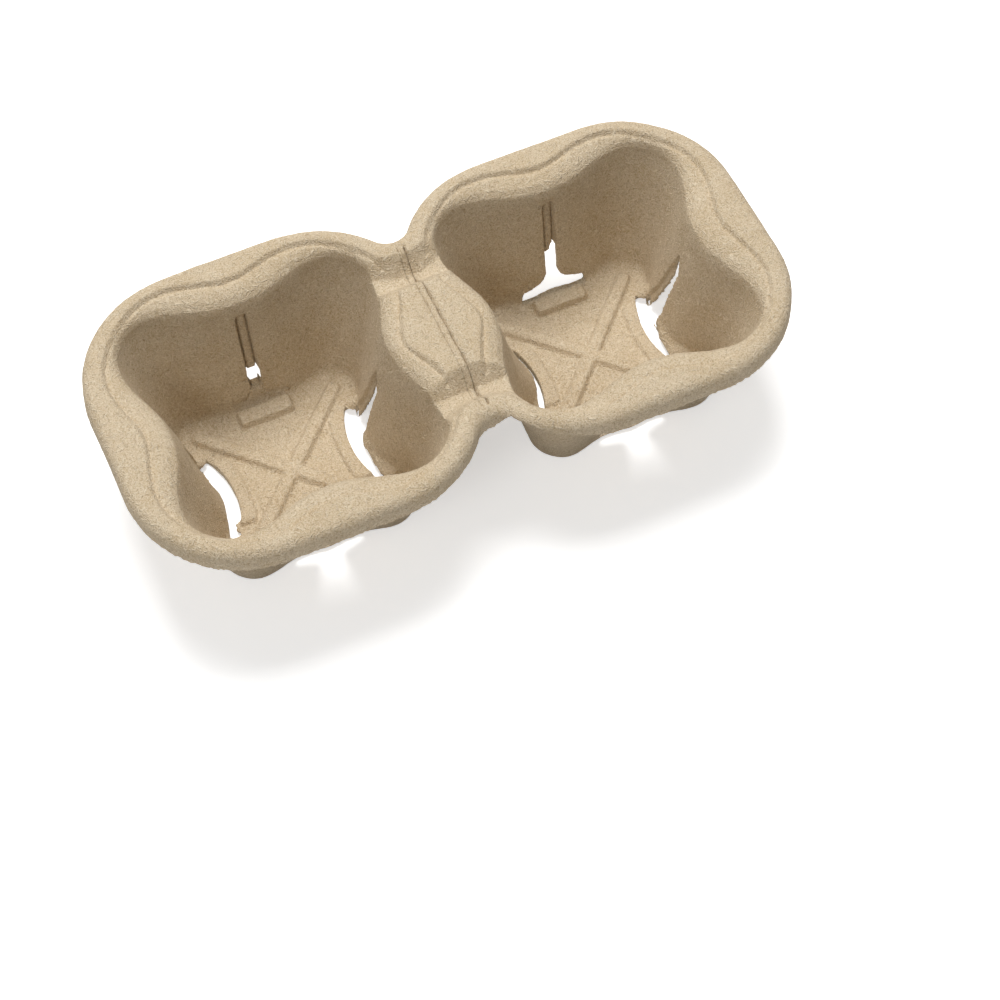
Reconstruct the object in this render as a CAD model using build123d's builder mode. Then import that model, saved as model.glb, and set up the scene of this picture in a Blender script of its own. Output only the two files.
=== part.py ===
from build123d import *
from math import cos, hypot, radians, sin, tan
import os

os.makedirs("parts", exist_ok=True)

# A two-cup carrier of moulded paper pulp: one thin shell with two deep four-lobed wells under a broad rim.
# Origin: the middle of the footprint, on the surface that the carrier stands on. +X is the long way, +Z up.

# Driving sizes, in millimetres
pitch = 102.0  # from one cup's middle to the other's
height = 50.0  # from the feet to the crest of the rim
wall = 1.8  # thickness of the pulp

# The back of the pulp is its front, lowered by the wall. Steep parts also step sideways, by shares of it.
well_share = 0.8
trough_share = 0.41
hollow_share = 0.55

# Outline of the rim, seen from above
half_side = 51.2  # from a cup's middle to the long side of the rim
half_end = 53.3  # from a cup's middle to the short end of the rim
corner_radius = 36.2
waist_radius = 6.5  # where the two rims meet
rim_roll = 3.6  # radius of the roll from the rim down into the skirt
skirt = 6.8  # from the crest to the skirt's lower edge
skirt_draft = 5.0  # degrees that the skirt leans outwards

# The shelf round each well, and the crease between it and the rim
step = 1.25  # drop from the crest to the crease
shoulder = 5.0  # height of the round shoulder from the crease into the well
crease_bridge = 38.3  # from a cup's middle to the crease, towards the other cup
crease_end = 41.4
crease_side = 41.0
crease_corner = 52.4

# The well at the foot of its shoulder, and at its floor
lip_end = 33.6  # towards the carrier's ends and towards the other cup
lip_side = 34.1
lip_corner = 51.0
floor_end = 23.8
floor_side = 27.8
floor_corner = 38.4
heel = 2.4  # radius between floor and wall, and under the feet
heel_start = 15.0  # degrees of that round which the flat floor takes up

# How narrow the lobes are: 1 is broad, more is narrower
lobe_crease = 1.0
lobe_lip = 1.35
lobe_floor = 2.3
flat_crease = 1.7  # how broad the lobes' ends are along the crease

# The bridge between the cups
pad_end = 16.3  # from the long axis to the end of the raised pad
trough_edge = 28.7  # from the long axis to the trough's outer edge, at the waist
trough_depth = 6.0
trough_floor = 2.6  # width of the trough's floor at the waist
trough_curve = 16.0  # radius of the trough's outer edge
trough_arc = 13.4  # from the middle of the bridge to each end of that round edge

# The floor
rib_width = 5.4
rib_rise = 1.7
rib_reach = 34.5  # from the middle of the cross to a rib's end
pad_width = 18.4
pad_front = 19.8  # from the cup's middle to the near edge of the cup rest
pad_back = 26.4
pad_rise = 2.6
ridge_rise = 1.1
ridge_edge = 15.0  # from the cup's middle to a ridge's inner edge
ridge_end = 2.5  # from a ridge's end to the end of its slot
raised_lean = 32.0  # degrees that the sides of ribs and ridges lean
pad_lean = 18.0  # degrees that the sides of a cup rest lean
pad_corner = 1.2

# The slots at a cup's two ends: a crescent cut between floor and wall, with a torn neck up the wall
slot_edge = 19.4  # from the cup's middle to the floor's edge
slot_half = 14.6  # half the crescent's length
slot_bow = 3.8  # how far the floor's edge bows inwards
slot_wall_bow = 2.7  # how far the wall's edge, across the slot, bows the same way
slot_gap = 4.6  # width of the crescent at its middle
slot_rise = 3.6  # from the floor up to where the crescent ends in the wall
torn_width = 5.0
torn_tip = 0.6  # width of a torn neck just under its upper end
torn_top = 37.8  # height of the upper end of a torn neck

# The slots at a cup's two sides: a wide low arch behind the cup rest, with a neck up the wall
arch_half = 11.6  # half the width of the arch at the floor
arch_slant = 1.2  # how much narrower it is at the height of its ends
arch_foot = 5.4  # height of the arch at its ends
arch_top = 11.0  # height at which the arch runs into its neck
arch_swell = 2.0  # how far the arch's edge swells upwards on its way to the neck
arch_flare = 1.0  # how far that edge stays wide of the neck before it turns up
neck_width = 4.2
neck_top = 41.0
skin = 0.7  # thickness of the pulp left across a neck
skin_cover = 0.1  # how far that pulp lies inside the wall's outer face
skin_foot = 24.8  # height at which that pulp ends over an open arch
closed_foot = 7.8  # height at which the neck of the closed slot ends
hole_foot = 10.8  # the torn hole in the closed slot
hole_top = 15.8

# The two scored lines between the cups, one of them cut through in short slits
score_place = 1.2  # from the middle of the bridge to the cut line
score_gap = 2.1  # between the two lines
score_width = 0.6
score_depth = 0.5
score_end = 30.5  # from the long axis to the end of a line
slit_width = 0.4
slit_length = 5.0
slit_pitch = 8.5
slit_count = 4

# The tear in the skirt at the front of the waist
tear_foot = 1.2  # from the middle of the bridge to the foot of the tear
tear_peak = 5.4
tear_turn = 6.9
tear_end = 33.0
tear_top = 1.9  # from the crest down to the tear's highest point
tear_shoulder = 2.2  # from the crest down to where the torn edge turns
tear_inside = 32.0  # from the long axis to the plane that the cut starts at

# Worked out from the sizes above
crease_height = height - step
lip_height = crease_height - shoulder
cup_place = pitch / 2
nest = well_share * wall  # how far the outside of a well stands out from its inside
trough_nest = trough_share * wall  # the same for a trough's slopes
hollow_nest = hollow_share * wall  # how much smaller a hollow under the floor is than the form above it
trough_slope = (trough_edge - pad_end - trough_floor) / 2  # width of each slope of the trough, at the waist
ring_points = 28
over = 1.0  # how far a cutter runs past what it cuts
seam = 0.5  # how near the middle an edge of the waist lies


def between(a, b, share):
    return a + (b - a) * share


def ring_radius(angle, bridge, end, side, corner, lobe, flat):
    """Radius of a four-lobed ring at an angle, in degrees, from the direction of the other cup."""
    turn = radians(angle)
    facing = bridge if cos(turn) > 0 else end
    middle = facing * cos(turn) ** 2 + side * sin(turn) ** 2
    return middle + (corner - middle) * (1 - abs(cos(2 * turn)) ** (2 * flat)) ** lobe


def ring_line(sizes, grow):
    """Points of a four-lobed ring, moved outwards by grow."""
    points = []
    for k in range(ring_points):
        angle = 360 * k / ring_points
        near = []
        for a in (angle - 1, angle, angle + 1):
            r = ring_radius(a, *sizes)
            near.append((r * cos(radians(a)), r * sin(radians(a))))
        along = (near[2][0] - near[0][0], near[2][1] - near[0][1])
        size = hypot(*along)
        points.append((near[1][0] + grow * along[1] / size, near[1][1] - grow * along[0] / size))
    return points


def ring_sizes(share_up, share_out):
    """Sizes of the well's ring: share_up goes from floor to lip, share_out from lip to crease."""
    end = between(floor_end, lip_end, share_up)
    side = between(floor_side, lip_side, share_up)
    corner = between(floor_corner, lip_corner, share_up)
    lobe = between(lobe_floor, lobe_lip, share_up)
    return (
        between(end, crease_bridge, share_out),
        between(end, crease_end, share_out),
        between(side, crease_side, share_out),
        between(corner, crease_corner, share_out),
        between(lobe, lobe_crease, share_out),
        between(1, flat_crease, share_out),
    )


def well_levels():
    """Height, ring sizes and inset of each section of the well, from its floor to the crease."""
    levels = []
    for angle in (heel_start, 40, 65, 90):
        rise = heel * (cos(radians(heel_start)) - cos(radians(angle)))
        inset = heel * (1 - sin(radians(angle)))
        levels.append((wall + rise, ring_sizes(rise / (lip_height - wall), 0), -inset))
    for angle in (0, 25, 50, 75, 90):
        out = 1 - cos(radians(angle))
        levels.append((lip_height + shoulder * sin(radians(angle)), ring_sizes(1, out), 0))
    return levels


def loft_well(drop, grow, top):
    """A well as a solid: drop lowers it and grow widens it, which gives its outside. It ends at height top."""
    levels = [(z - drop, ring_line(sizes, inset + grow)) for z, sizes, inset in well_levels()]
    rise = top - levels[-1][0]
    levels.append((top, ring_line(ring_sizes(1, 1), grow + rise)))
    with BuildPart() as well:
        for z, points in levels:
            with BuildSketch(Plane.XY.offset(z)):
                with BuildLine():
                    Spline(*points, periodic=True)
                make_face()
        loft(ruled=True)
    return well.part


def rim_block(inset, depth):
    """The rim and its skirt as a solid block, smaller by inset all round, as far as depth below the crest."""
    lean = radians(skirt_draft)
    inward = inset * (1 / cos(lean) - tan(lean))
    with BuildPart() as block:
        with BuildSketch(Plane.XY.offset(height - inset)):
            with Locations((-cup_place, 0)):
                RectangleRounded(2 * (half_end - inward), 2 * (half_side - inward), corner_radius - inward)
        extrude(amount=inset - depth, taper=-skirt_draft)
        mirror(about=Plane.YZ)
        waist_edges = block.edges().filter_by_position(Axis.X, -seam, seam).sort_by(Axis.Y)
        fillet([waist_edges[0], waist_edges[-1]], waist_radius + inward)
        fillet(block.faces().sort_by(Axis.Z)[-1].edges(), rim_roll - inset)
    return block.part


def trough_block(drop, grow):
    """The trough behind the pad: its outer edge is an arc round the waist, its ends run into the wells."""
    reach = cup_place - floor_end / 2
    with BuildPart() as block:
        for depth in (0, trough_depth):
            lean = (depth - grow) * trough_slope / trough_depth
            near = pad_end + lean
            far = trough_edge - lean
            radius = trough_curve + lean
            corner = far + radius - (radius**2 - trough_arc**2) ** 0.5
            with BuildSketch(Plane.XY.offset(height - drop - depth)):
                with BuildLine():
                    ThreePointArc((-trough_arc, corner), (0, far), (trough_arc, corner))
                    Polyline((trough_arc, corner), (reach, corner), (reach, near))
                    Polyline((reach, near), (-reach, near), (-reach, corner), (-trough_arc, corner))
                make_face()
        loft(ruled=True)
    return block.part


def floor_rib(drop, grow):
    """One bar of the cross on the floor."""
    with BuildPart() as bar:
        with BuildSketch(Plane.XY.offset(wall - drop)):
            SlotOverall(2 * (rib_reach + grow), rib_width + 2 * grow, rotation=45)
        extrude(amount=rib_rise, taper=raised_lean)
    return bar.part


def cup_rest(drop, grow):
    """The small block that stands on the floor in front of the slot on the +Y side."""
    with BuildPart() as rest:
        with BuildSketch(Plane.XY.offset(wall - drop)):
            with Locations((0, (pad_front + pad_back) / 2)):
                RectangleRounded(pad_width + 2 * grow, pad_back - pad_front + 2 * grow, pad_corner)
        extrude(amount=pad_rise, taper=pad_lean)
    return rest.part


def edge_ridge(drop, grow):
    """The raised band along the floor's edge on the +X side."""
    inner = ridge_edge - grow
    outer = slot_edge + slot_gap / 2 if drop == 0 else slot_edge - wall
    reach = slot_half - ridge_end + grow
    bow = slot_bow * (reach / slot_half) ** 2
    with BuildPart() as ridge:
        with BuildSketch(Plane.XY.offset(wall - drop)):
            with BuildLine():
                ThreePointArc((outer + bow, -reach), (outer, 0), (outer + bow, reach))
                Line((outer + bow, reach), (inner + bow / 2, reach))
                ThreePointArc((inner + bow / 2, reach), (inner, 0), (inner + bow / 2, -reach))
                Line((inner + bow / 2, -reach), (outer + bow, -reach))
            make_face()
        extrude(amount=ridge_rise, taper=raised_lean)
    return ridge.part


def floor_forms(drop, grow):
    """All that is raised on a floor: the cross, two cup rests and two ridges. drop and grow give the underside."""
    forms = [floor_rib(drop, grow), edge_ridge(drop, grow)]
    forms += [form.mirror(Plane.YZ) for form in forms]
    rest = cup_rest(drop, grow)
    return forms + [rest, rest.mirror(Plane.XZ)]


def crescent():
    """The cut between floor and wall on the +X side, as a cutter along Z."""
    inner = slot_edge + slot_bow
    outer = slot_edge + slot_gap
    outer_end = outer + slot_wall_bow
    with BuildPart() as cutter:
        with BuildSketch(Plane.XY.offset(-over)):
            with BuildLine():
                ThreePointArc((outer_end, -slot_half), (outer, 0), (outer_end, slot_half))
                Line((outer_end, slot_half), (inner, slot_half))
                ThreePointArc((inner, slot_half), (slot_edge, 0), (inner, -slot_half))
                Line((inner, -slot_half), (outer_end, -slot_half))
            make_face()
        extrude(amount=over + wall + slot_rise)
    return cutter.part


def torn_neck():
    """The tear from the crescent up the wall on the +X side, as a cutter along X."""
    with BuildPart() as cutter:
        with BuildSketch(Plane.YZ.offset(slot_edge + slot_gap / 2)):
            with BuildLine():
                Polyline(
                    (torn_width / 2, wall),
                    (torn_tip / 2, torn_top - torn_tip),
                    (0, torn_top),
                    (-torn_tip / 2, torn_top - torn_tip),
                    (-torn_width / 2, wall),
                    close=True,
                )
            make_face()
        extrude(amount=lip_end - slot_edge)
    return cutter.part


def arch():
    """The wide part of a side slot and its neck, on the +Y side, as a cutter along Y."""
    half = neck_width / 2
    end = arch_half - arch_slant
    with BuildPart() as cutter:
        with BuildSketch(Plane.XZ.offset(-pad_back)):
            with BuildLine():
                Polyline((end, arch_foot), (arch_half, wall), (-arch_half, wall), (-end, arch_foot))
                for way in (1, -1):
                    start = (way * end, arch_foot)
                    first = (way * end / 2, arch_foot + arch_swell)
                    second = (way * (half + arch_flare), arch_foot + arch_swell / 2)
                    Bezier(start, first, second, (way * half, arch_top))
                Polyline((half, arch_top), (half, neck_top - half))
                Polyline((-half, arch_top), (-half, neck_top - half))
                ThreePointArc((half, neck_top - half), (0, neck_top), (-half, neck_top - half))
            make_face()
        extrude(amount=pad_back - lip_side - 2 * wall)
    return cutter.part


def closed_neck():
    """The neck of the slot that is still closed, on the +Y side, as a cutter along Y."""
    with BuildPart() as cutter:
        with BuildSketch(Plane.XZ.offset(-pad_back)):
            with Locations((0, (closed_foot + neck_top) / 2)):
                SlotOverall(neck_top - closed_foot, neck_width, rotation=90)
        extrude(amount=pad_back - lip_side - 2 * wall)
    return cutter.part


def side_skin(foot, top):
    """Thin pulp across a neck on the +Y side, from height foot to height top, flush with the wall's back."""
    back = nest + wall * (lip_side - floor_side) / (lip_height - wall) - skin_cover
    with BuildPart() as plate:
        with BuildSketch(Plane.YZ.offset(-neck_width / 2 - skin_cover)):
            with BuildLine():
                corners = []
                for z, out in ((foot, back - skin), (foot, back), (top, back), (top, back - skin)):
                    face = between(floor_side, lip_side, (z - wall) / (lip_height - wall))
                    corners.append((face + out, z))
                Polyline(*corners, close=True)
            make_face()
        extrude(amount=neck_width + 2 * skin_cover)
    return plate.part


def score_line(place):
    """A line pressed across the bridge, as a thin cutter whose lower edge follows the bridge's surface."""
    low = height - score_depth
    half = [(0, low), (pad_end, low), (pad_end + trough_slope, low - trough_depth)]
    half += [(trough_edge - trough_slope, low - trough_depth), (trough_edge, low), (score_end, low)]
    half += [(score_end, height + over), (0, height + over)]
    with BuildPart() as cutter:
        with BuildSketch(Plane.YZ.offset(place - score_width / 2)):
            with BuildLine():
                Polyline(*half, close=True)
            make_face()
            mirror(about=Plane.YZ)
        extrude(amount=score_width)
    return cutter.part


def slits():
    """The short slits that cut one line through, along the pad."""
    with BuildPart() as cutter:
        with Locations((score_place, 0, height - wall)):
            with GridLocations(0, slit_pitch, 1, slit_count):
                Box(slit_width, slit_length, 2 * wall)
    return cutter.part


def skirt_tear():
    """What is torn out of the skirt at the front of the waist, as a cutter along Y that stops behind the skirt."""
    foot = height - skirt
    with BuildPart() as cutter:
        with BuildSketch(Plane.XZ.offset(tear_inside)):
            with BuildLine():
                Polyline(
                    (tear_foot, foot - over),
                    (tear_foot, foot),
                    (tear_peak, height - tear_top),
                    (tear_turn, height - tear_shoulder),
                    (tear_end, foot),
                    (tear_end, foot - over),
                    close=True,
                )
            make_face()
        extrude(amount=half_side - tear_inside + rim_roll)
        with BuildSketch(Plane.XY.offset(foot - 2 * over)):
            with Locations((cup_place, 0)):
                inset = 2 * wall
                RectangleRounded(2 * (half_end - inset), 2 * (half_side - inset), corner_radius - inset)
        extrude(amount=skirt + 2 * over, mode=Mode.SUBTRACT)
    return cutter.part


rim_outside = rim_block(0, skirt)
rim_inside = rim_block(wall, skirt + 2 * over)
trough = trough_block(0, 0)
trough_under = trough_block(wall, trough_nest)
cup_outside = loft_well(wall, nest, height - wall / 2)
cup_inside = loft_well(0, 0, height + over)
raised = floor_forms(0, 0)
hollows = floor_forms(wall, -hollow_nest)
end_cuts = [crescent(), torn_neck()]
end_cuts += [cut.mirror(Plane.YZ) for cut in end_cuts]

# One half of the carrier, with its well round the origin, as far as the plane midway between the cups
with BuildPart() as half:
    add(rim_outside)
    add(rim_inside, mode=Mode.SUBTRACT)
    add([trough_under, trough_under.mirror(Plane.XZ)])
    split(bisect_by=Plane.YZ, keep=Keep.BOTTOM)
    add(cup_outside.translate((-cup_place, 0, 0)))
    add([trough, trough.mirror(Plane.XZ)], mode=Mode.SUBTRACT)
    add(cup_inside.translate((-cup_place, 0, 0)), mode=Mode.SUBTRACT)
    add([form.translate((-cup_place, 0, 0)) for form in raised])
    add([form.translate((-cup_place, 0, 0)) for form in hollows], mode=Mode.SUBTRACT)
    add([cut.translate((-cup_place, 0, 0)) for cut in end_cuts], mode=Mode.SUBTRACT)

# What the two halves don't share: the slots at the cups' sides, the tear in the skirt and the scored lines
open_slot = arch()
open_skin = side_skin(skin_foot, neck_top)
side_cuts = [closed_neck().translate((-cup_place, 0, 0)), open_slot.translate((cup_place, 0, 0))]
side_cuts += [open_slot.mirror(Plane.XZ).translate((place, 0, 0)) for place in (-cup_place, cup_place)]
skins = [side_skin(closed_foot, hole_foot), side_skin(hole_top, neck_top)]
skins = [plate.translate((-cup_place, 0, 0)) for plate in skins] + [open_skin.translate((cup_place, 0, 0))]
skins += [open_skin.mirror(Plane.XZ).translate((place, 0, 0)) for place in (-cup_place, cup_place)]
bridge_cuts = [score_line(score_place), score_line(score_place - score_gap), slits(), skirt_tear()]

with BuildPart() as carrier:
    add(half.part)
    add(half.part.mirror(Plane.YZ))
    add(side_cuts, mode=Mode.SUBTRACT)
    add(skins)
    add(bridge_cuts, mode=Mode.SUBTRACT)

carrier.part.label = "cup_carrier"
export_step(carrier.part, "parts/cup_carrier.step")
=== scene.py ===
# %% [markdown]
# This lesson dresses one object: a two-cup carrier of moulded paper pulp, the kind that comes with
# takeaway drinks. The imported CAD model is loaded first and stays fixed. It gives the true size and place
# of everything, so each later step measures itself against it.

# %% Load the carrier's frame
from math import atan2, cos, hypot, sin

import bmesh
import bpy
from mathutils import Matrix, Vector, geometry, noise


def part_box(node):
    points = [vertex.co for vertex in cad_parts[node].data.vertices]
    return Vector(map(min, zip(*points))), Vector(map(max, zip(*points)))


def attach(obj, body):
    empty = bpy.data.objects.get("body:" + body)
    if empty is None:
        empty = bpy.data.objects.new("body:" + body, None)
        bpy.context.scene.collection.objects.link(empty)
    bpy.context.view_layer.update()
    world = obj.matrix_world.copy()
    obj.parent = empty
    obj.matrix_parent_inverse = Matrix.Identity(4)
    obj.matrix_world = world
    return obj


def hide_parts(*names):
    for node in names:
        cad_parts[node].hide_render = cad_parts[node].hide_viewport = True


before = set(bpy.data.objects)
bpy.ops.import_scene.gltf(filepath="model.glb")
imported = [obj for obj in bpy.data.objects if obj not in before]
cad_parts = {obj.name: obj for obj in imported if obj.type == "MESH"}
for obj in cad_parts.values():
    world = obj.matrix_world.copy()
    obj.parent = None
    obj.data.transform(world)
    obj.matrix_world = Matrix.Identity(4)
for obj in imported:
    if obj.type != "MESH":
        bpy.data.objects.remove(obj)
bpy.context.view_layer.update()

MM = 0.001
low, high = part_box("cup_carrier")
print("carrier", [round((b - a) / MM, 1) for a, b in zip(low, high)], "mm")

# %% [markdown]
# A real carrier is made on a fine screen that is dipped into wet pulp, so it is one thin shell. The CAD
# shell is copied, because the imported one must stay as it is. It comes as loose triangles. Merging the
# points that they share makes them one closed skin, and the modifiers of the next steps need that.

# %% Copy the shell and merge its triangles
MERGE = 0.001 * MM  # points that lie this close become one


def add_object(name, data):
    """Puts a new object with this mesh, lamp or lens into the scene."""
    made = bpy.data.objects.new(name, data)
    bpy.context.scene.collection.objects.link(made)
    return made


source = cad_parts["cup_carrier"]
carrier = add_object("pulp_carrier", source.data.copy())
carrier.data.materials.clear()

shell = bmesh.new()
shell.from_mesh(carrier.data)
bmesh.ops.remove_doubles(shell, verts=shell.verts, dist=MERGE)
open_edges = sum(not edge.is_manifold for edge in shell.edges)
print("merged shell", len(shell.verts), "points,", open_edges, "open edges")
shell.to_mesh(carrier.data)
shell.free()

# %% [markdown]
# The slots at the cups' ends are torn up the wall, and each tear leans to one side. In the photograph it
# runs from the table's level to a tip two thirds up. An outline drawn on the wall is pulled through it,
# and the Boolean modifier takes that out of the shell. Heights and places are in millimetres, as on the
# real thing.

# %% Sizes of an end wall
WALL = 1.9  # thickness of a wall, measured level
WALL_FOOT = 23.4  # from a cup's middle to the inner face of an end wall, at the table's height
WALL_LEAN = 0.234  # how far a wall leans out for each millimetre of height
WALL_FLAT = 3.3  # half the width over which a wall is flat
WALL_BOW = 0.0245  # how fast it bends outwards beside that
RIM_END = 53.9  # from a cup's middle to the short end of the skirt
cup = (high.x - low.x) / 2 / MM - RIM_END  # from the carrier's middle to a cup's middle
print("middles of the cups at", round(-cup, 1), "and", round(cup, 1), "mm")

# %% Helpers for torn pulp
def wall_at(y, z):
    """How far the inner face of an end wall lies from the cup's middle."""
    return WALL_FOOT + WALL_LEAN * z + WALL_BOW * max(0.0, abs(y) - WALL_FLAT) ** 2


def on_end(side, way, y, z, depth=0.0):
    """A point of an end wall: side is the cup, way the wall, and depth goes from its inner face outwards."""
    return Vector((side * cup + way * (wall_at(y, z) + depth), y, z)) * MM


def points_of(shape):
    """The points among what an extrusion has made."""
    return [item for item in shape if isinstance(item, bmesh.types.BMVert)]


def add_plate(mesh, corners, push):
    """Adds a closed plate: corners go round its face, and push is the way and distance to its other face."""
    face = mesh.faces.new([mesh.verts.new(corner) for corner in corners])
    pulled = bmesh.ops.extrude_face_region(mesh, geom=[face])["geom"]
    bmesh.ops.translate(mesh, verts=points_of(pulled), vec=Vector(push) * MM)


def apply_modifiers(piece):
    """Makes what the modifiers show the piece's own mesh, and counts its faces."""
    graph = bpy.context.evaluated_depsgraph_get()
    finished = bpy.data.meshes.new_from_object(piece.evaluated_get(graph))
    piece.modifiers.clear()
    piece.data = finished
    return len(finished.polygons)


# %% Tear the leaning necks out of the end walls
# The outline of a tear: each point is a place across the wall and a height
TEAR = [(1.5, 0.6), (1.7, 15), (1.1, 26), (3.9, 33.5), (6.6, 22), (9.2, 11.5), (12.0, 5.8), (12.4, 0.6)]
TEAR_START = -1.2  # the outline is drawn this far from the wall's inner face, inside the cup
TEAR_REACH = 2.5 * WALL  # and is pulled outwards by this much
ENDS = [(side, way) for side in (-1, 1) for way in (-1, 1)]

tears = bmesh.new()
for side, way in ENDS:
    add_plate(tears, [on_end(side, way, y, z, TEAR_START) for y, z in TEAR], (way * TEAR_REACH, 0, 0))
bmesh.ops.recalc_face_normals(tears, faces=tears.faces)
tear_mesh = bpy.data.meshes.new("tears")
tears.to_mesh(tear_mesh)
tears.free()
cutter = add_object("tears", tear_mesh)
cut = carrier.modifiers.new("tear", "BOOLEAN")
cut.operation = "DIFFERENCE"
cut.solver = "MANIFOLD"
cut.object = cutter
print("torn shell", apply_modifiers(carrier), "faces")
bpy.data.objects.remove(cutter)

# %% [markdown]
# What still hangs at the tears is put back as thin plates: the straight side of each neck, the fuzzy
# strip of half the wall's thickness along its leaning side, and the hem of wall that reaches down to the
# floor's edge. One side slot keeps a torn skin, and a crumb hangs at the edge of a floor. Each is an
# outline that is extruded. They reach into the shell, so the voxels of the next step fuse them with it.

# %% Helpers for the scraps
HEM_FOOT = 2.4  # heights between which a hem hangs
HEM_TOP = 6.0
BACK_FOOT = 27.5  # from a cup's middle to the inner face of its +Y wall, at the table's height
BACK_LEAN = 0.15


def back_at(z):
    """How far the inner face of the wall on the +Y side lies from the long axis."""
    return BACK_FOOT + BACK_LEAN * z


def on_back(side, x, z, depth):
    """A point of the wall on a cup's +Y side, where x is counted from the cup's middle."""
    return Vector((side * cup + x, back_at(z) + depth, z)) * MM


def add_hem(mesh, side, way, line):
    """Adds the strip of wall above a torn edge, given as y and distance from the cup's middle."""
    foot = [mesh.verts.new(Vector((side * cup + way * out, y, HEM_FOOT)) * MM) for y, out in line]
    edges = [mesh.edges.new(pair) for pair in zip(foot, foot[1:])]
    pulled = bmesh.ops.extrude_edge_only(mesh, edges=edges)["geom"]
    for point in points_of(pulled):
        point.co = on_end(side, way, point.co.y / MM, HEM_TOP)
    faces = [item for item in pulled if isinstance(item, bmesh.types.BMFace)]
    pulled = bmesh.ops.extrude_face_region(mesh, geom=faces)["geom"]
    bmesh.ops.translate(mesh, verts=points_of(pulled), vec=(way * WALL * MM, 0, 0))


# %% Outlines of the scraps
# On an end wall, each point is a place across it and a height
STRAIGHT = [(-3.4, 4.6), (1.5, 2.8), (1.7, 15), (1.1, 26.5), (3.6, 34), (3.4, 39.2), (-3.4, 39.2)]
STRIP = [
    (7.2, 22.5), (10.0, 11.6), (12.8, 5.8), (12.0, 3.6), (9.6, 2.3),
    (7.5, 7.6), (5.1, 16.6), (3.9, 22), (4.2, 32),
]
STRIP_SINK = 0.8  # how far the strip lies behind the wall's inner face
STRIP_THICK = 0.9
# Along a hem's torn edge, each point is y and the distance from the cup's middle
FAR_HEM = [(15.6, 23.4), (13.6, 23.3), (12.2, 24.9)]
HEMS = {  # for each cup and wall
    (-1, 1): [(1.9, 24.0), (-0.8, 22.9), (-2.9, 23.0), (-7.8, 23.3), (-12.7, 23.6), (-15.6, 25.0)],
    (1, 1): [(2.0, 24.2), (-3.7, 22.4), (-10.3, 22.4), (-13.6, 23.2), (-15.6, 25.0)],
    (1, -1): [
        (13.4, 24.4), (7.0, 23.2), (1.9, 22.8), (-3.8, 23.2), (-7.4, 23.8), (-12.7, 24.2), (-15.6, 25.0),
    ],
    (-1, -1): [(1.9, 23.7), (-2.4, 23.5), (-6.6, 24.4), (-9.5, 25.6)],
}
# On the side wall, each point is x from the cup's middle and a height, and for the crumb x and y
SKIN = [(-2.4, 26), (-2.4, 17.6), (0.2, 18.8), (0.9, 21.2), (2.4, 22.6), (2.4, 26)]
SKIN_SINK = 1.1
SKIN_THICK = 0.8
CRUMB = [(-21.4, -9.6), (-23.4, -10.4), (-22.9, -11.4), (-23.9, -12.2), (-23.2, -13.2), (-21.8, -13.4)]
CRUMB_FOOT = 0.7
CRUMB_THICK = 1.1
print("hems", [len(line) for line in HEMS.values()], "points")

# %% Hang the torn scraps at the slots
scraps = bmesh.new()
scraps.from_mesh(carrier.data)
for side, way in ENDS:
    add_plate(scraps, [on_end(side, way, y, z) for y, z in STRAIGHT], (way * WALL, 0, 0))
    add_plate(scraps, [on_end(side, way, y, z, STRIP_SINK) for y, z in STRIP], (way * STRIP_THICK, 0, 0))
    add_hem(scraps, side, way, HEMS[side, way])
    add_hem(scraps, side, way, FAR_HEM)
add_plate(scraps, [on_back(1, x, z, SKIN_SINK) for x, z in SKIN], (0, SKIN_THICK, 0))
add_plate(scraps, [Vector((x - cup, y, CRUMB_FOOT)) * MM for x, y in CRUMB], (0, 0, CRUMB_THICK))
bmesh.ops.recalc_face_normals(scraps, faces=scraps.faces)
scraps.to_mesh(carrier.data)
scraps.free()
print("shell with scraps", len(carrier.data.polygons), "faces")

# %% [markdown]
# The forms of pulp are soft: no edge is sharper than the mat of fibres allows. Bevels on so many small
# edges would be slow work, so the shell is rebuilt from small cubes, called voxels. That fuses its
# pieces and gives an even skin of small faces, which can be smoothed and roughened like pulp.

# %% Rebuild it from voxels and soften it
VOXEL = 0.4 * MM
SOFTEN = 0.5  # how far each step moves a point towards the middle of its neighbours
SOFTEN_STEPS = 2

remesh = carrier.modifiers.new("voxels", "REMESH")
remesh.mode = "VOXEL"
remesh.voxel_size = VOXEL
soften = carrier.modifiers.new("soften", "SMOOTH")
soften.factor = SOFTEN
soften.iterations = SOFTEN_STEPS
print("remeshed", apply_modifiers(carrier), "faces")

# %% [markdown]
# Pulp dries unevenly, so no surface stays true. Three sizes of noise push the points along their
# normals: slow waves from shrinking, small lumps where fibres clump, and a fine roughness. A Displace
# modifier could do it with a texture for each size, but Blender's noise function adds them up in one
# line, and it gives the same value for the same place every time, so each run is alike.

# %% Press the waves and lumps of dried pulp into the mesh
WAVES = [(14.0, 0.20), (4.0, 0.08), (1.5, 0.05)]  # size and height, in millimetres

skin = bmesh.new()
skin.from_mesh(carrier.data)
for vertex in skin.verts:
    height = sum(rise * noise.noise(vertex.co / (size * MM)) for size, rise in WAVES)
    vertex.co += vertex.normal * height * MM
    vertex.co.z = max(vertex.co.z, 0.0)
print("waves pressed into", len(skin.verts), "points")
skin.to_mesh(carrier.data)
skin.free()

# %% [markdown]
# Smaller marks come after the voxels, which would blur them. A line runs along the crease round each
# shelf. Two lines are scored across the bridge, so that the carrier can be broken in two, and one of
# them is nearly cut through in short slits. The press has left the outline of a slot on one wall. Each
# kind of mark gets a function for its depth at a point, so that it can follow a curve, come and go, and
# run out softly.

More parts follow.
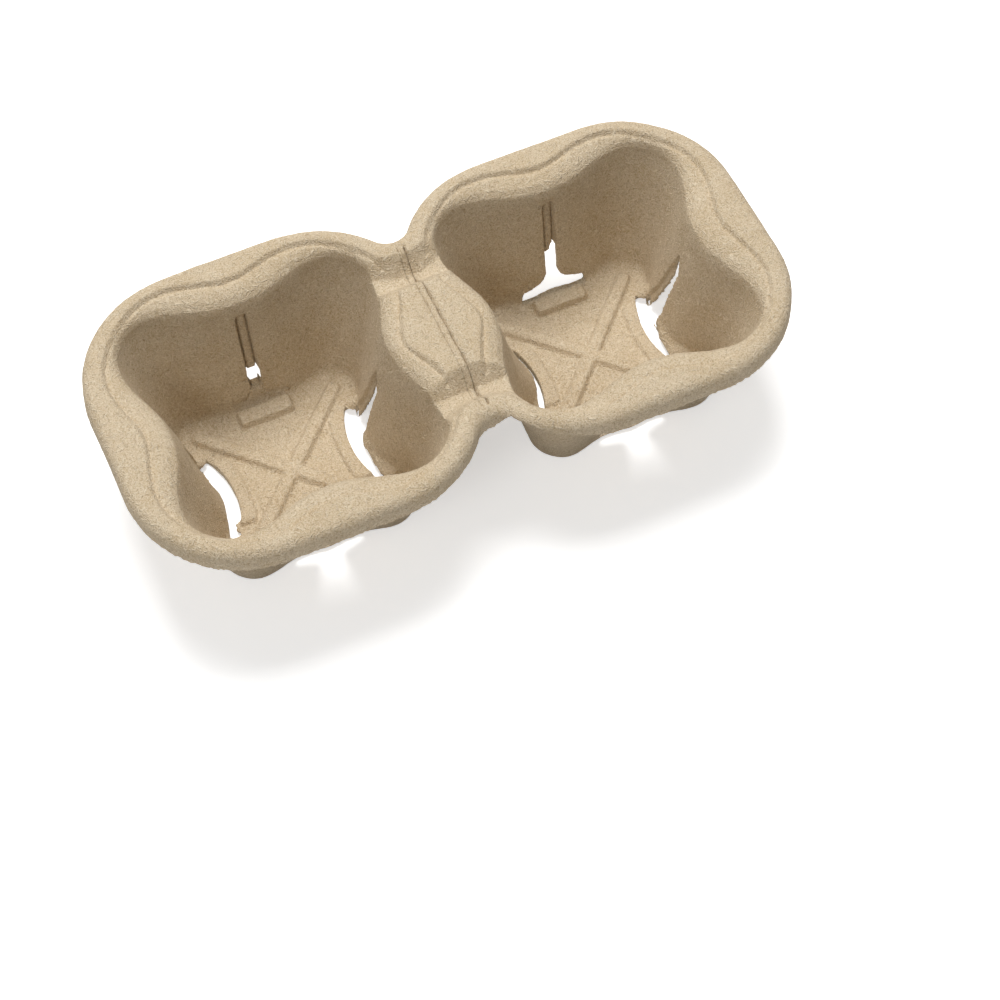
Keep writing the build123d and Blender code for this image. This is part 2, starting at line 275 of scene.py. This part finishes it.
# %% Line along the crease
CREASE_BRIDGE = 38.3  # from a cup's middle to the crease between rim and shelf, towards the other cup
CREASE_END = 41.4  # the same towards the carrier's end, towards its long sides and into the corners
CREASE_SIDE = 41.0
CREASE_CORNER = 52.4
CREASE_FLAT = 3.4  # how broad the crease's four lobes are
CREASE_HALF = 0.9  # half the width of the line
CREASE_DEPTH = 0.45
CREASE_FLOOR = 46.5  # the crease lies above this height


def crease_depth(across, y):
    """How deep the line is at a place: across goes from the cup's middle towards the other cup."""
    turn = atan2(y, across)
    facing = CREASE_BRIDGE if across > 0 else CREASE_END
    middle = facing * cos(turn) ** 2 + CREASE_SIDE * sin(turn) ** 2
    reach = middle + (CREASE_CORNER - middle) * (1 - abs(cos(2 * turn)) ** CREASE_FLAT)
    return max(0.0, CREASE_DEPTH * (1 - abs(hypot(across, y) - reach) / CREASE_HALF))


print("line along the crease", CREASE_DEPTH, "mm deep")

# %% Score lines across the bridge
SCORES = [(-0.9, 0.35), (1.25, 0.6)]  # place and depth of the two lines
SCORE_HALF = 0.5  # half the width of a line
SCORE_NEAR = 3.0  # both lines lie this near to the carrier's middle
SCORE_END = 31.0
SCORE_FLOOR = 41.0  # the bridge's upper face lies above this height
SLIT_DEPTH = 1.5
SLIT_PITCH = 8.5
SLIT_SHARE = 0.6  # share of the line that is slit


def score_depth(x, y):
    """How deep the score lines are at a place on the bridge."""
    deepest = 0.0
    for place, depth in SCORES:
        slit = place > 0 and (y / SLIT_PITCH) % 1 < SLIT_SHARE
        deepest = max(deepest, (1 - abs(x - place) / SCORE_HALF) * (SLIT_DEPTH if slit else depth))
    return deepest


print("score lines", [depth for place, depth in SCORES], "mm deep, slits", SLIT_DEPTH, "mm")

# %% Outline left by the press
PRINTS = [  # on the left cup's wall: x from the cup's middle, and height
    [(-2.3, 9.0), (-3.0, 6.0), (-4.5, 5.0), (-9.2, 5.8)],
    [(-2.7, 13.8), (-8.9, 14.4), (-11.5, 10.2), (-11.4, 3.0)],
    [(1.9, 9.0), (2.2, 6.2), (3.6, 4.8), (7.7, 5.2), (10.6, 3.0)],
]
PRINT_HALF = 0.6  # half the width of a line
PRINT_DEPTH = 0.55
PRINT_TOP = 14.0  # the lines lie below this height, this near to the cup's middle
PRINT_SIDE = 12.5
PRINT_SKIN = 0.6  # only points this near to the wall's inner face are pressed


def print_depth(x, z):
    """How deep the press's lines are at a place on the wall."""
    spot = Vector((x, z))
    near = PRINT_HALF
    for line in PRINTS:
        for start, end in zip(line, line[1:]):
            foot, share = geometry.intersect_point_line(spot, Vector(start), Vector(end))
            if 0 <= share <= 1:
                near = min(near, (spot - foot).length)
    return PRINT_DEPTH * (1 - near / PRINT_HALF)


print("press lines", len(PRINTS))

# %% [markdown]
# One end wall is pushed in, so that its slot is nearly shut, and the thin skins in the necks of the side
# slots lie deeper than the wall. A finer noise frays the skirt and the torn edges. All of this is done
# in one pass over the points, because each mark is worked out from where a point was before the others
# moved it.

# %% Pushed-in wall
PUSHED = (1, -1)  # cup and wall
PUSH = 2.8  # how far it is pushed in at its foot
PUSH_FOOT = 2.1  # heights between which it gives way, and half the width
PUSH_TOP = 32.0
PUSH_HALF = 17.0
PUSH_START = -2.5  # only points from this far before the wall's inner face are pushed
WALL_REACH = 2 * WALL  # a wall's points lie at most this far behind its inner face


def fade(share):
    """Goes smoothly from 1 at share 0 to 0 at share 1."""
    share = min(1.0, max(0.0, share))
    return 1 - share * share * (3 - 2 * share)


print("wall pushed in by", PUSH, "mm, half way up by", round(PUSH * fade(0.5), 1), "mm")

# %% Sunken skins and frayed edges
NECK_HALF = 1.9  # half the width of a neck's skin
NECK_FOOT = 8.5
NECK_TOP = 40.5
NECK_SINK = 0.7  # how much deeper the skin lies
NECK_CREVICE = 1.3  # how much deeper still it lies along its two edges
CREVICE_HALF = 1.4  # from the neck's middle to the start of such an edge
NECK_START = 0.4  # only points from this far behind the wall's inner face sink
FRAY_SIZE = 1.1
FRAY = 0.7
FRAY_FOOT = 42.5  # heights between which the skirt's edge is frayed
FRAY_TOP = 44.4
TORN_TOP = 36.0  # height and half width of the torn part of an end wall
TORN_HALF = 15.0
FACES_UP = 0.3  # a point whose normal rises more than this lies on top
FACES_DOWN = -0.2  # and one whose normal falls more than this lies on the skirt's edge
EDGEWISE = 0.7  # a torn edge's normal has less than this along X, and a wall's face more
print("skins sink by", NECK_SINK, "to", NECK_SINK + NECK_CREVICE, "mm")

# %% Press the marks and fray the torn edges
skin = bmesh.new()
skin.from_mesh(carrier.data)
for vertex in skin.verts:
    x, y, z = vertex.co / MM
    side = 1 if x > 0 else -1
    across = x - side * cup
    way = 1 if across > 0 else -1
    frayed = FRAY * noise.noise(vertex.co / (FRAY_SIZE * MM))
    depth = abs(across) - wall_at(y, z)
    behind = y - back_at(z)
    if z > CREASE_FLOOR and vertex.normal.z > FACES_UP:
        vertex.co.z -= crease_depth(-side * across, y) * MM
    if abs(x) < SCORE_NEAR and abs(y) < SCORE_END and z > SCORE_FLOOR and vertex.normal.z > FACES_UP:
        vertex.co.z -= score_depth(x, y) * MM
    elif FRAY_FOOT < z < FRAY_TOP and vertex.normal.z < FACES_DOWN:
        vertex.co.z += frayed * MM
    elif z < TORN_TOP and abs(y) < TORN_HALF and 0 < depth < WALL and abs(vertex.normal.x) < EDGEWISE:
        vertex.co += vertex.normal * frayed * MM
    if (side, way) == PUSHED and z > PUSH_FOOT and PUSH_START < depth < WALL_REACH and abs(y) < PUSH_HALF:
        vertex.co.x -= way * PUSH * fade(z / PUSH_TOP) * fade(abs(y) / PUSH_HALF) * MM
    if abs(across) < NECK_HALF and NECK_FOOT < z < NECK_TOP and NECK_START < behind < WALL_REACH:
        vertex.co.y += (NECK_SINK + (NECK_CREVICE if abs(across) > CREVICE_HALF else 0)) * MM
    if side < 0 and z < PRINT_TOP and abs(behind) < PRINT_SKIN and abs(across) < PRINT_SIDE:
        vertex.co.y += print_depth(across, z) * MM
skin.to_mesh(carrier.data)
skin.free()
print("marks pressed into", len(carrier.data.vertices), "points")

# %% [markdown]
# The fine mesh has far more faces than the form needs. The Decimate modifier in its collapse mode takes
# away those that matter least, so flat stretches get large faces and edges keep small ones. Then the
# piece takes the place of the CAD shell, and smooth shading hides the edges of its faces.

# %% Thin the mesh
TRIANGLES = 190000

thin = carrier.modifiers.new("thin", "DECIMATE")
thin.ratio = TRIANGLES / (2 * len(carrier.data.polygons))  # a face of the voxel mesh is two triangles
thin.use_collapse_triangulate = True
print("thinned to", apply_modifiers(carrier), "triangles")
for polygon in carrier.data.polygons:
    polygon.use_smooth = True
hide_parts("cup_carrier")
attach(carrier, "root")

# %% [markdown]
# The finish is moulded pulp: brown and white waste paper, soaked, beaten and sucked onto a screen. It is
# matt and slightly furry. Short light and dark fibres lie in every direction, with clouds of lighter and
# darker pulp and small dark specks. A photograph of pulp could be wrapped round it, but patterns worked
# out from each point's place need no seams. Colours are written as sRGB hex values and turned to linear.

# %% Helpers for the material
def linear(code):
    """An sRGB hex value as linear red, green, blue and alpha."""
    parts = [int(code[k:k + 2], 16) / 255 for k in (1, 3, 5)]
    return [c / 12.92 if c <= 0.04045 else ((c + 0.055) / 1.055) ** 2.4 for c in parts] + [1.0]


def add_node(tree, kind, inputs=None, **settings):
    """Adds a node: settings are its options, inputs its values or the sockets that feed it."""
    node = tree.nodes.new(kind)
    for name, value in settings.items():
        setattr(node, name, value)
    for name, value in (inputs or {}).items():
        if isinstance(value, bpy.types.NodeSocket):
            tree.links.new(value, node.inputs[name])
        else:
            node.inputs[name].default_value = value
    return node


def per_size(millimetres):
    """The scale of a pattern whose features are this large."""
    return 1 / (millimetres * MM)


# %% Moulded pulp
CLOUD = 9.0  # sizes of the patterns, in millimetres
MOTTLE = 1.1
GRAIN = 0.42

pulp = bpy.data.materials.new("moulded_pulp")
pulp.use_nodes = True
tree = pulp.node_tree
shader = tree.nodes["Principled BSDF"]
place = add_node(tree, "ShaderNodeTexCoord").outputs["Object"]
clouds = add_node(tree, "ShaderNodeTexNoise", {"Vector": place, "Scale": per_size(CLOUD), "Detail": 3.0})
mottle = add_node(tree, "ShaderNodeTexNoise", {"Vector": place, "Scale": per_size(MOTTLE), "Detail": 2.0})
grain = add_node(tree, "ShaderNodeTexNoise", {"Vector": place, "Scale": per_size(GRAIN), "Detail": 2.0})
print("patterns of", CLOUD, MOTTLE, "and", GRAIN, "mm")

# %% [markdown]
# The fibres are wood, and thinner than a hair. They are drawn many times as thick, or they would not
# show in the render. In each cell of a Voronoi pattern one thin disc is turned at random. Where the
# carrier's skin cuts a disc it shows as a short straight line, and so no fibre has to be placed by hand.

# %% Fibres
ROUND_OFF = (0.3, 0.5)  # a fibre's ends fade between these shares of its length, counted from its middle


def fibre_layer(cell, length, width, shift):
    """Short straight fibres, given by how far apart, how long and how thick they are, and a shift."""
    moved = add_node(tree, "ShaderNodeVectorMath", {0: place, 1: (shift, shift, -shift)}, operation="ADD")
    cells = add_node(tree, "ShaderNodeTexVoronoi", {"Vector": moved.outputs[0], "Scale": per_size(cell)})
    turn = add_node(tree, "ShaderNodeVectorMath", {0: cells.outputs["Color"], 1: (0.5, 0.5, 0.5)},
                    operation="SUBTRACT")
    axis = add_node(tree, "ShaderNodeVectorMath", {0: turn.outputs[0]}, operation="NORMALIZE")
    apart = add_node(tree, "ShaderNodeVectorMath", {0: moved.outputs[0], 1: cells.outputs["Position"]},
                     operation="SUBTRACT")
    along = add_node(tree, "ShaderNodeVectorMath", {0: apart.outputs[0], 1: axis.outputs[0]},
                     operation="DOT_PRODUCT")
    off = add_node(tree, "ShaderNodeMath", {0: along.outputs["Value"]}, operation="ABSOLUTE")
    line = add_node(tree, "ShaderNodeMapRange", {"Value": off.outputs[0], "From Min": 0.0,
                    "From Max": width * MM, "To Min": 1.0, "To Max": 0.0}, interpolation_type="SMOOTHSTEP")
    far = add_node(tree, "ShaderNodeVectorMath", {0: apart.outputs[0]}, operation="LENGTH")
    ends = add_node(tree, "ShaderNodeMapRange", {"Value": far.outputs["Value"],
                    "From Min": ROUND_OFF[0] * length * MM, "From Max": ROUND_OFF[1] * length * MM,
                    "To Min": 1.0, "To Max": 0.0}, interpolation_type="SMOOTHSTEP")
    fibre = add_node(tree, "ShaderNodeMath", {0: line.outputs[0], 1: ends.outputs[0]}, operation="MULTIPLY")
    return fibre.outputs[0]


light_fibres = fibre_layer(cell=1.9, length=2.4, width=0.24, shift=0.0)
dark_fibres = fibre_layer(cell=1.6, length=1.8, width=0.2, shift=0.013)
print("two layers of fibres, with", len(tree.nodes), "nodes so far")

# %% [markdown]
# A score line is a cut with shade in it, but at this size the mesh's groove looks only a little darker
# than the bridge. So the shade of the same two lines is painted into the colour too, as painted shade.
# Each point's X is compared with the line's place, and its Y and Z with the bridge's, which needs no picture
# and keeps to the groove.

# %% Painted shade of the score lines
SCORE_SHADE_HALF = 0.3  # half the width of a line's painted shade


def paint_score_shade():
    """Painted shade for the two score lines as a pattern: it is strongest on a line, as deep as that is, and
    0 beside it.
    """
    axes = add_node(tree, "ShaderNodeSeparateXYZ", {0: place})
    near_y = add_node(tree, "ShaderNodeMath", {0: axes.outputs["Y"], 1: 0.0, 2: SCORE_END * MM},
                      operation="COMPARE").outputs[0]
    above = add_node(tree, "ShaderNodeMath", {0: axes.outputs["Z"], 1: SCORE_FLOOR * MM},
                     operation="GREATER_THAN").outputs[0]
    inside = add_node(tree, "ShaderNodeMath", {0: near_y, 1: above}, operation="MULTIPLY").outputs[0]
    lines = []
    for spot, depth in SCORES:
        off = add_node(tree, "ShaderNodeMath", {0: axes.outputs["X"], 1: spot * MM}, operation="SUBTRACT")
        off = add_node(tree, "ShaderNodeMath", {0: off.outputs[0]}, operation="ABSOLUTE")
        line = add_node(tree, "ShaderNodeMapRange", {"Value": off.outputs[0], "From Min": 0.0,
                        "From Max": SCORE_SHADE_HALF * MM, "To Min": depth, "To Max": 0.0})
        lines.append(line.outputs[0])
    both = add_node(tree, "ShaderNodeMath", {0: lines[0], 1: lines[1]}, operation="MAXIMUM").outputs[0]
    return add_node(tree, "ShaderNodeMath", {0: both, 1: inside}, operation="MULTIPLY").outputs[0]


painted_score_shade = paint_score_shade()
print("material", pulp.name, "has", len(tree.nodes), "nodes so far")

# %% Colour of the pulp
FACTOR, FIRST, SECOND, MIXED = 0, 6, 7, 2  # a Mix node's sockets for colours
SPREADS = [  # pattern, colour, the values at which that starts and is fullest, and its fullest share
    (clouds, "#c0aa88", 0.42, 0.62, 0.4),
    (mottle, "#b8a17e", 0.5, 0.72, 0.35),
    (grain, "#e6dac4", 0.52, 0.72, 0.6),
    (grain, "#987f5e", 0.48, 0.28, 0.6),
]
FIBRE_COLOURS = [(light_fibres, "#eadcc3", 0.5), (dark_fibres, "#80684a", 0.3)]


def blend_in(colour, code, share):
    """Mixes another colour into a colour, by a share that may be a pattern."""
    mix = add_node(tree, "ShaderNodeMix", {FACTOR: share, FIRST: colour, SECOND: linear(code)},
                   data_type="RGBA")
    return mix.outputs[MIXED]


colour = linear("#cdbb9f")
for pattern, code, start, fullest, share in SPREADS:
    spread = add_node(tree, "ShaderNodeMapRange", {"Value": pattern.outputs["Fac"], "From Min": start,
                      "From Max": fullest, "To Min": 0.0, "To Max": share})
    colour = blend_in(colour, code, spread.outputs[0])
for fibres, code, share in FIBRE_COLOURS:
    strength = add_node(tree, "ShaderNodeMath", {0: fibres, 1: share}, operation="MULTIPLY")
    colour = blend_in(colour, code, strength.outputs[0])
# painted shade: the score lines are darkened in the colour, where their cuts would lie in shade
colour = blend_in(colour, "#4a3a28", painted_score_shade)
tree.links.new(colour, shader.inputs["Base Color"])
shader.inputs["Roughness"].default_value = 0.92  # dry paper is matt
shader.inputs["Specular IOR Level"].default_value = 0.25  # and its pores leave little gloss
print("colours blended with", len(SPREADS), "patterns and", len(FIBRE_COLOURS), "layers of fibres")

# %% [markdown]
# Colour alone would look printed. The same patterns also raise and sink the skin: a Bump node tilts the
# surface for the light, without a point being moved. It is meant for grain too fine for the mesh, while
# everything that shows in the outline was made in the mesh itself.

# %% Relief of the pulp
RELIEF = 0.45  # height of the relief where the patterns add up to 1, in millimetres
MOTTLE_RISE = 0.3  # share of each pattern in it
GRAIN_RISE = 1.0
DARK_RISE = -0.15
LIGHT_RISE = 0.35

relief = add_node(tree, "ShaderNodeMath", {0: mottle.outputs["Fac"], 1: MOTTLE_RISE}, operation="MULTIPLY")
rises = [(grain.outputs["Fac"], GRAIN_RISE), (dark_fibres, DARK_RISE), (light_fibres, LIGHT_RISE)]
for pattern, rise in rises:
    relief = add_node(tree, "ShaderNodeMath", {0: pattern, 1: rise, 2: relief.outputs[0]},
                      operation="MULTIPLY_ADD")
bump = add_node(tree, "ShaderNodeBump", {"Height": relief.outputs[0], "Distance": RELIEF * MM,
                "Strength": 1.0})
tree.links.new(bump.outputs[0], shader.inputs["Normal"])
carrier.data.materials.clear()  # the Boolean leaves an empty slot
carrier.data.materials.append(pulp)
print("material", pulp.name, "has", len(tree.nodes), "nodes")

# %% [markdown]
# The carrier stands on a plain white table, as in a product photograph. The table adds a little light of
# its own to what the camera sees, so that it comes out white where it is lit and still shows a soft
# shadow. The same trick makes the world white to look at, while it lights the carrier only weakly.

# %% Table and backdrop
TABLE = 3.0  # half the length of its sides, in metres
TABLE_GLOW = 0.5  # strength of its own light, where 1 is white
WORLD_LIGHT = 0.22  # strength at which the world lights the carrier


def shown(tree):
    """Is 1 for what the camera sees, straight or by way of gloss or glass, and 0 for light on its way."""
    rays = add_node(tree, "ShaderNodeLightPath")
    seen = rays.outputs["Is Camera Ray"]
    for kind in ("Is Glossy Ray", "Is Transmission Ray"):
        both = add_node(tree, "ShaderNodeMath", {0: seen, 1: rays.outputs[kind]}, operation="MAXIMUM")
        seen = both.outputs[0]
    return seen


ground = bmesh.new()
bmesh.ops.create_grid(ground, x_segments=1, y_segments=1, size=TABLE)
table_mesh = bpy.data.meshes.new("table")
ground.to_mesh(table_mesh)
ground.free()
table = add_object("table", table_mesh)

paper = bpy.data.materials.new("white_table")
paper.use_nodes = True
tree = paper.node_tree
matt = add_node(tree, "ShaderNodeBsdfDiffuse", {"Color": linear("#f2f2f2")})
lift = add_node(tree, "ShaderNodeMath", {0: shown(tree), 1: TABLE_GLOW}, operation="MULTIPLY")
glow = add_node(tree, "ShaderNodeEmission", {"Strength": lift.outputs[0]})
both = add_node(tree, "ShaderNodeAddShader", {0: matt.outputs[0], 1: glow.outputs[0]})
tree.links.new(both.outputs[0], tree.nodes["Material Output"].inputs["Surface"])
table_mesh.materials.append(paper)

world = bpy.data.worlds.new("studio")
bpy.context.scene.world = world
world.use_nodes = True
tree = world.node_tree
strength = add_node(tree, "ShaderNodeMapRange", {"Value": shown(tree), "To Min": WORLD_LIGHT, "To Max": 1.0})
sky = tree.nodes["Background"]
sky.inputs["Color"].default_value = (1.0, 1.0, 1.0, 1.0)
tree.links.new(strength.outputs[0], sky.inputs["Strength"])
print("table", 2 * TABLE, "m wide, world", WORLD_LIGHT, "for light")

# %% [markdown]
# A broad lamp hangs above and a little behind the carrier. Its soft light is bright on the rim and the
# floor of the wells and leaves the walls that face the camera in half shade, which shows how deep the
# wells are. A small weaker one from the left grazes those walls, so that their fibres and torn edges
# stand out.

# %% Lamps
LAMPS = {  # place and size in metres, power in watts
    "softbox": (Vector((0.08, 0.43, 1.19)), 0.6, 15.5),
    "side_light": (Vector((-0.6, -0.55, 0.9)), 0.3, 2.2),
}

for name, (spot, size, power) in LAMPS.items():
    light = bpy.data.lights.new(name, "AREA")
    light.shape = "SQUARE"
    light.size = size
    light.energy = power
    lamp = add_object(name, light)
    lamp.location = spot
    lamp.rotation_euler = (-spot).to_track_quat("-Z", "Y").to_euler()
    print("lamp", name, power, "W")

# %% [markdown]
# The camera stands where the photographer stood. Its place, its direction and its lens were worked out
# from the carrier's own corners in the picture, because a guess by eye would leave every outline a
# little off.

# %% Camera
CAMERA_PLACE = Vector((-0.13842, -0.34181, 0.57807))
CAMERA_LOOK = Vector((0.21106, 0.45794, -0.86356))
CAMERA_LENS = 78.48  # for this width of sensor, both in millimetres
SENSOR = 36.0
CLIP_START = 0.01  # nearest that the camera sees, in metres

lens = bpy.data.cameras.new("camera")
lens.lens = CAMERA_LENS
lens.sensor_width = SENSOR
lens.clip_start = CLIP_START
camera = add_object("camera", lens)
camera.location = CAMERA_PLACE
camera.rotation_euler = CAMERA_LOOK.to_track_quat("-Z", "Y").to_euler()
bpy.context.scene.camera = camera
bpy.context.scene.view_settings.view_transform = "Standard"
print("camera", round(CAMERA_PLACE.length, 2), "m from the carrier's middle")
